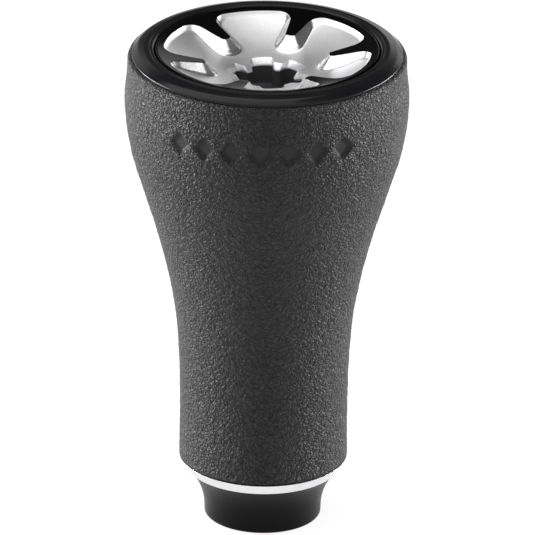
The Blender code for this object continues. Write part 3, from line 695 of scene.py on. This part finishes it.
def make_cap():
    """One skin of rings: over the face, down into the pockets, through the key hole and back below."""
    pocket, into_pocket = pocket_outline()
    direction = pocket / np.abs(pocket)
    rings, looks = [], []

    def ring(plan, height, look):
        """Adds a ring of points, and the look of the faces from it to the next one."""
        rings.append(np.stack([plan.real, plan.imag, np.broadcast_to(height, plan.shape)], 1))
        looks.append(look)

    ring(direction * CAP_RADIUS, CAP_BOTTOM + CAP_CHAMFER_HEIGHT, BLACK)
    for radius, drop in CAP_EDGE:
        plan = direction * radius
        ring(plan, dished(FACE_DISH, plan) - drop, BLACK)
    outer = direction * FACE_RADIUS
    inner = pocket - into_pocket * FACE_EDGE_WIDTH
    for step in range(FACE_STEPS + 1):
        share = step / FACE_STEPS
        plan = outer * (1 - share) + inner * share
        ring(plan, dished(FACE_DISH, plan), BLACK)
    for inset, drop in FACE_EDGE:
        plan = pocket + into_pocket * inset
        ring(plan, dished(FACE_DISH, plan) - drop, BLACK)

    off_tooth = off_the_tooth()
    slope = np.tan(TOOTH_WALL + (OUTER_WALL - TOOTH_WALL) * off_tooth)
    run = wall_run(pocket, into_pocket, slope)
    foot = dished(FLOOR_DISH, pocket + into_pocket * run)
    edge = dished(FACE_DISH, pocket) - FACE_EDGE_DROP
    for share in (0.0, *WALL_SHARES):
        ring(pocket + into_pocket * run * share, edge * (1 - share) + foot * share, WALL)
    for share, lift in WALL_FOOT + FLOOR_FOOT:
        plan = pocket + into_pocket * run * share
        look = WALL if share < WALL_FOOT[-1][0] else FLOOR
        ring(plan, dished(FLOOR_DISH, plan) + lift * (edge - foot), look)
    start = pocket + into_pocket * run * FLOOR_START
    near = key_edge(KEY_FLOOR_GROWTH)
    for step in range(FLOOR_STEPS + 1):
        share = step / FLOOR_STEPS
        plan = start * (1 - share) + near * share
        ring(plan, dished(FLOOR_DISH, plan), FLOOR)

    key_start = len(rings)
    bevel_looks = [FLOOR] + [BEVEL] * (len(KEY_BEVEL) - 2) + [BORE]
    for (grown, drop), look in zip(KEY_BEVEL, bevel_looks):
        plan = key_edge(grown)
        ring(plan, dished(FLOOR_DISH, plan) - drop, look)
    key = key_edge(0.0)
    for height in KEY_HEIGHTS:
        ring(key, height, BORE)
    ring(key, WEB_HEIGHT, PLAIN)
    for radius, height in (
        (SKIRT_BORE, WEB_HEIGHT),
        (SKIRT_BORE, SKIRT_BOTTOM),
        (SKIRT_RADIUS - SKIRT_CHAMFER, SKIRT_BOTTOM),
        (SKIRT_RADIUS, SKIRT_BOTTOM + SKIRT_CHAMFER),
        (SKIRT_RADIUS, CAP_BOTTOM),
    ):
        ring(direction * radius, height, PLAIN)
    ring(direction * UNDERSIDE_RADIUS, CAP_BOTTOM, BLACK)

    mesh = mesh_from_rings("end_cap_machined", np.array(rings) * MM)
    around = len(pocket)
    for polygon in mesh.polygons:
        row, column = divmod(polygon.index, around)
        on_outer_wall = looks[row] == WALL and row < key_start and off_tooth[column] > 0.5
        polygon.material_index = FLOOR if on_outer_wall else looks[row]
    facing_out(mesh)
    add_piece("end_cap_machined", mesh, "cap", ["end_cap"], cap_looks(), sharp=40)


# --- pieces inside ----------------------------------------------------------------

def finish_inside():
    """Materials for the CAD pieces that are kept as they are, chosen by their names."""
    steel = turned_metal_look("bearing_race_steel", (0.6, 0.6, 0.61), 0.18)
    polished = blasted_metal_look("ball_steel", (0.75, 0.75, 0.76), 0.07, 0.4, 0.001)
    shield = blasted_metal_look("shield_steel", (0.55, 0.55, 0.56), 0.3, 0.4, 0.004)
    brass = blasted_metal_look("cage_brass", (0.62, 0.5, 0.26), 0.38, 0.4, 0.006)
    stainless = turned_metal_look("turned_stainless", (0.62, 0.61, 0.6), 0.26)
    alloy = turned_metal_look("turned_alloy", (0.7, 0.71, 0.73), 0.36)
    nylon = rubber_look("moulded_nylon", (0.05, 0.05, 0.052), 0.5)
    seal = rubber_look("seal_rubber", (0.022, 0.022, 0.022), 0.62)
    kinds = [
        ("_ball_cage", brass), ("_ball_", polished), ("_race", steel), ("_shield_", shield),
        ("grip_former", nylon), ("core_tube", alloy), ("spacer_tube", alloy),
        ("dust_seal", seal), ("cap_o_ring", seal),
    ]
    for name, node in CAD_NODES.items():
        look = next((kind for part, kind in kinds if part in name), stainless)
        node.data.materials.clear()
        node.data.materials.append(look)


# --- studio ---------------------------------------------------------------------

CAMERA_DISTANCE = 1.5
CAMERA_ELEVATION = math.radians(24.87)
CAMERA_AIM = Vector((0.000321, 0.0, 0.035625))
CAMERA_ROLL = math.radians(0.64)
CAMERA_LENS = 747.7
CAMERA_SENSOR = 36.0

FLOOR_HALF_SIZE = 6.0
FLOOR_GAP = 0.1 * MM
FLOOR_GLOW = 0.85
WORLD_GLOW = 0.10

KNOB_MIDDLE = (0.0, 0.0, 0.035)
SIDE_BOXES = [  # (name, place, width, height in m, power in W), each facing the knob's middle
    ("left_box", (-0.545, 0.16, 0.085), 0.36, 0.16, 7.5),
    ("right_box", (0.545, 0.165, 0.085), 0.36, 0.16, 6.2),
    ("back_left", (-0.45, 0.75, 0.34), 0.5, 0.5, 0.5),
    ("back_right", (0.30, 0.83, 0.25), 0.5, 0.3, 0.5),
]
TOP_BOXES = [  # the same, each facing straight down
    ("top_front", (-0.2, -0.45, 0.62), 1.4, 0.7, 4.0),
    ("top_back", (-0.37, 0.08, 0.62), 1.0, 0.44, 2.6),
]


def facing(place, target):
    """The turn that points a camera or a light at the target."""
    return (Vector(target) - Vector(place)).to_track_quat("-Z", "Y")


def make_camera():
    data = bpy.data.cameras.new("camera")
    data.lens = CAMERA_LENS
    data.sensor_width = CAMERA_SENSOR
    data.clip_start = 0.05
    data.clip_end = 30.0
    camera = bpy.data.objects.new("camera", data)
    bpy.context.scene.collection.objects.link(camera)
    back = -CAMERA_DISTANCE * math.cos(CAMERA_ELEVATION)
    camera.location = (0.0, back, CAMERA_DISTANCE * math.sin(CAMERA_ELEVATION))
    camera.rotation_mode = "QUATERNION"
    roll = Quaternion((0, 0, 1), CAMERA_ROLL)
    camera.rotation_quaternion = facing(camera.location, CAMERA_AIM) @ roll
    bpy.context.scene.camera = camera


def area_light(name, place, target, width, height, power):
    data = bpy.data.lights.new(name, "AREA")
    data.shape = "RECTANGLE"
    data.size = width
    data.size_y = height
    data.energy = power
    light = bpy.data.objects.new(name, data)
    bpy.context.scene.collection.objects.link(light)
    light.location = place
    light.rotation_mode = "QUATERNION"
    light.rotation_quaternion = facing(place, target)


def make_floor():
    mesh = bpy.data.meshes.new("floor")
    work = bmesh.new()
    bmesh.ops.create_grid(work, x_segments=8, y_segments=8, size=FLOOR_HALF_SIZE)
    work.to_mesh(mesh)
    work.free()
    floor = bpy.data.objects.new("floor", mesh)
    bpy.context.scene.collection.objects.link(floor)
    floor.location.z = CAD_LOW.z - FLOOR_GAP
    pale = Look("pale_floor", (0.2, 0.2, 0.2), 0.9)
    pale.set("Emission Color", (1.0, 1.0, 1.0, 1.0))
    pale.set("Emission Strength", FLOOR_GLOW)
    shade = pale.ramp(pale.noise(0.4, 2.0), 0.3, (0.19, 0.19, 0.19), 0.7, (0.21, 0.21, 0.21))
    pale.join(shade, "Base Color")
    mesh.materials.append(pale.material)


def make_studio():
    """A pale floor that glows, a faint white world and soft boxes at the sides and above."""
    make_floor()
    world = bpy.data.worlds.new("studio")
    world.use_nodes = True
    sky = world.node_tree.nodes["Background"]
    sky.inputs["Color"].default_value = (1.0, 1.0, 1.0, 1.0)
    sky.inputs["Strength"].default_value = WORLD_GLOW
    for name, place, width, height, power in SIDE_BOXES:
        area_light(name, place, KNOB_MIDDLE, width, height, power)
    for name, place, width, height, power in TOP_BOXES:
        area_light(name, place, (place[0], place[1], 0.0), width, height, power)
    scene = bpy.context.scene
    scene.world = world
    scene.view_settings.view_transform = "Standard"
    scene.view_settings.look = "None"


make_camera()
make_studio()
finish_inside()
make_grip()
make_bezel()
make_trim()
make_collar()
make_cap()
